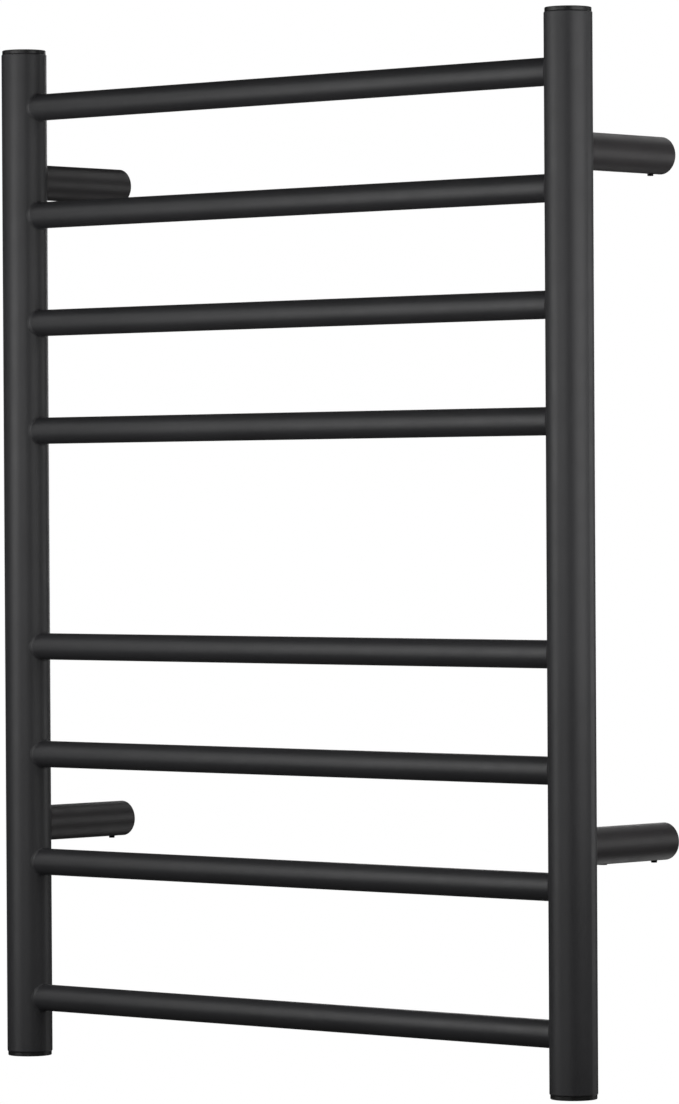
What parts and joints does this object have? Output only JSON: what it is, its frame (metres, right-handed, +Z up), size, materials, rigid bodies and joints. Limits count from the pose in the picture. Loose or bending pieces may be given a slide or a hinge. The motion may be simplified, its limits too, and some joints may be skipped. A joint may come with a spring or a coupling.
{
  "type": "heated towel ladder",
  "caption": "Wall-mounted electric towel warmer ladder with round posts, round rails and stand-off sleeves that slide over wall bosses.",
  "frame": {"origin": "centre of the four wall fixings, in the plane of the wall", "axes": "+Z up, -Y is the front (away from the wall), +X to the right seen from the front"},
  "size_m": [0.6, 0.1259, 0.801],
  "materials": {
    "black_coat": "fine satin powder coat",
    "cap_gloss": "semi-gloss",
    "seal_rubber": "matte",
    "boss_metal": "turned",
    "black_screw": "black oxide",
    "cable_red": "silicone",
    "sleeve_black": "moulded",
    "lead_grey": "silicone",
    "cutout_metal": "plated",
    "block_plastic": "moulded",
    "terminal_metal": "plated",
    "switch_plastic": "moulded",
    "button_plastic": "satin"
  },
  "bodies": {
    "wall_fixings": {"wall_boss_lower_left": "boss_metal", "wall_boss_lower_right": "boss_metal", "wall_boss_upper_left": "boss_metal", "wall_boss_upper_right": "boss_metal", "cable_grommet": "seal_rubber"},
    "rack": {"left_post": "black_coat", "right_post": "black_coat", "bar_1": "black_coat", "bar_2": "black_coat", "bar_3": "black_coat", "bar_4": "black_coat", "bar_5": "black_coat", "bar_6": "black_coat", "bar_7": "black_coat", "bar_8": "black_coat", "bracket_lower_left": "black_coat", "bracket_lower_right": "black_coat", "bracket_upper_left": "black_coat", "bracket_upper_right": "black_coat", "end_cap_top_left": "cap_gloss", "cap_seal_top_left": "seal_rubber", "end_cap_top_right": "cap_gloss", "cap_seal_top_right": "seal_rubber", "end_cap_bottom_left": "cap_gloss", "cap_seal_bottom_left": "seal_rubber", "end_cap_bottom_right": "cap_gloss", "cap_seal_bottom_right": "seal_rubber", "heating_cable": "cable_red", "cold_joint": "sleeve_black", "end_seal": "sleeve_black", "cutout_lead": "lead_grey", "cold_lead": "lead_grey", "thermal_cutout": "cutout_metal", "terminal_block": "block_plastic", "terminal_screws": "terminal_metal", "switch_body": "switch_plastic", "switch_lead": "lead_grey", "earth_stud": "terminal_metal", "earth_nut": "terminal_metal", "earth_lug": "terminal_metal"},
    "screw_lower_left": {"set_screw_lower_left": "black_screw"},
    "screw_lower_right": {"set_screw_lower_right": "black_screw"},
    "screw_upper_left": {"set_screw_upper_left": "black_screw"},
    "screw_upper_right": {"set_screw_upper_right": "black_screw"},
    "button": {"power_button": "button_plastic"}
  },
  "joints": [
    {"name": "rack_pull", "type": "slide", "parent": "wall_fixings", "child": "rack", "axis": [0, -1, 0], "range_m": [0, 0.03]},
    {"name": "screw_travel_lower_left", "type": "slide", "parent": "rack", "child": "screw_lower_left", "axis": [0, 0, 1], "range_m": [-0.001, 0.0018]},
    {"name": "screw_travel_lower_right", "type": "slide", "parent": "rack", "child": "screw_lower_right", "axis": [0, 0, 1], "range_m": [-0.001, 0.0018]},
    {"name": "screw_travel_upper_left", "type": "slide", "parent": "rack", "child": "screw_upper_left", "axis": [0, 0, 1], "range_m": [-0.001, 0.0018]},
    {"name": "screw_travel_upper_right", "type": "slide", "parent": "rack", "child": "screw_upper_right", "axis": [0, 0, 1], "range_m": [-0.001, 0.0018]},
    {"name": "button_press", "type": "slide", "parent": "rack", "child": "button", "axis": [0, 0, 1], "range_m": [0, 0.001], "stiffness_N_per_m": 1500, "springref_m": -0.0005}
  ]
}
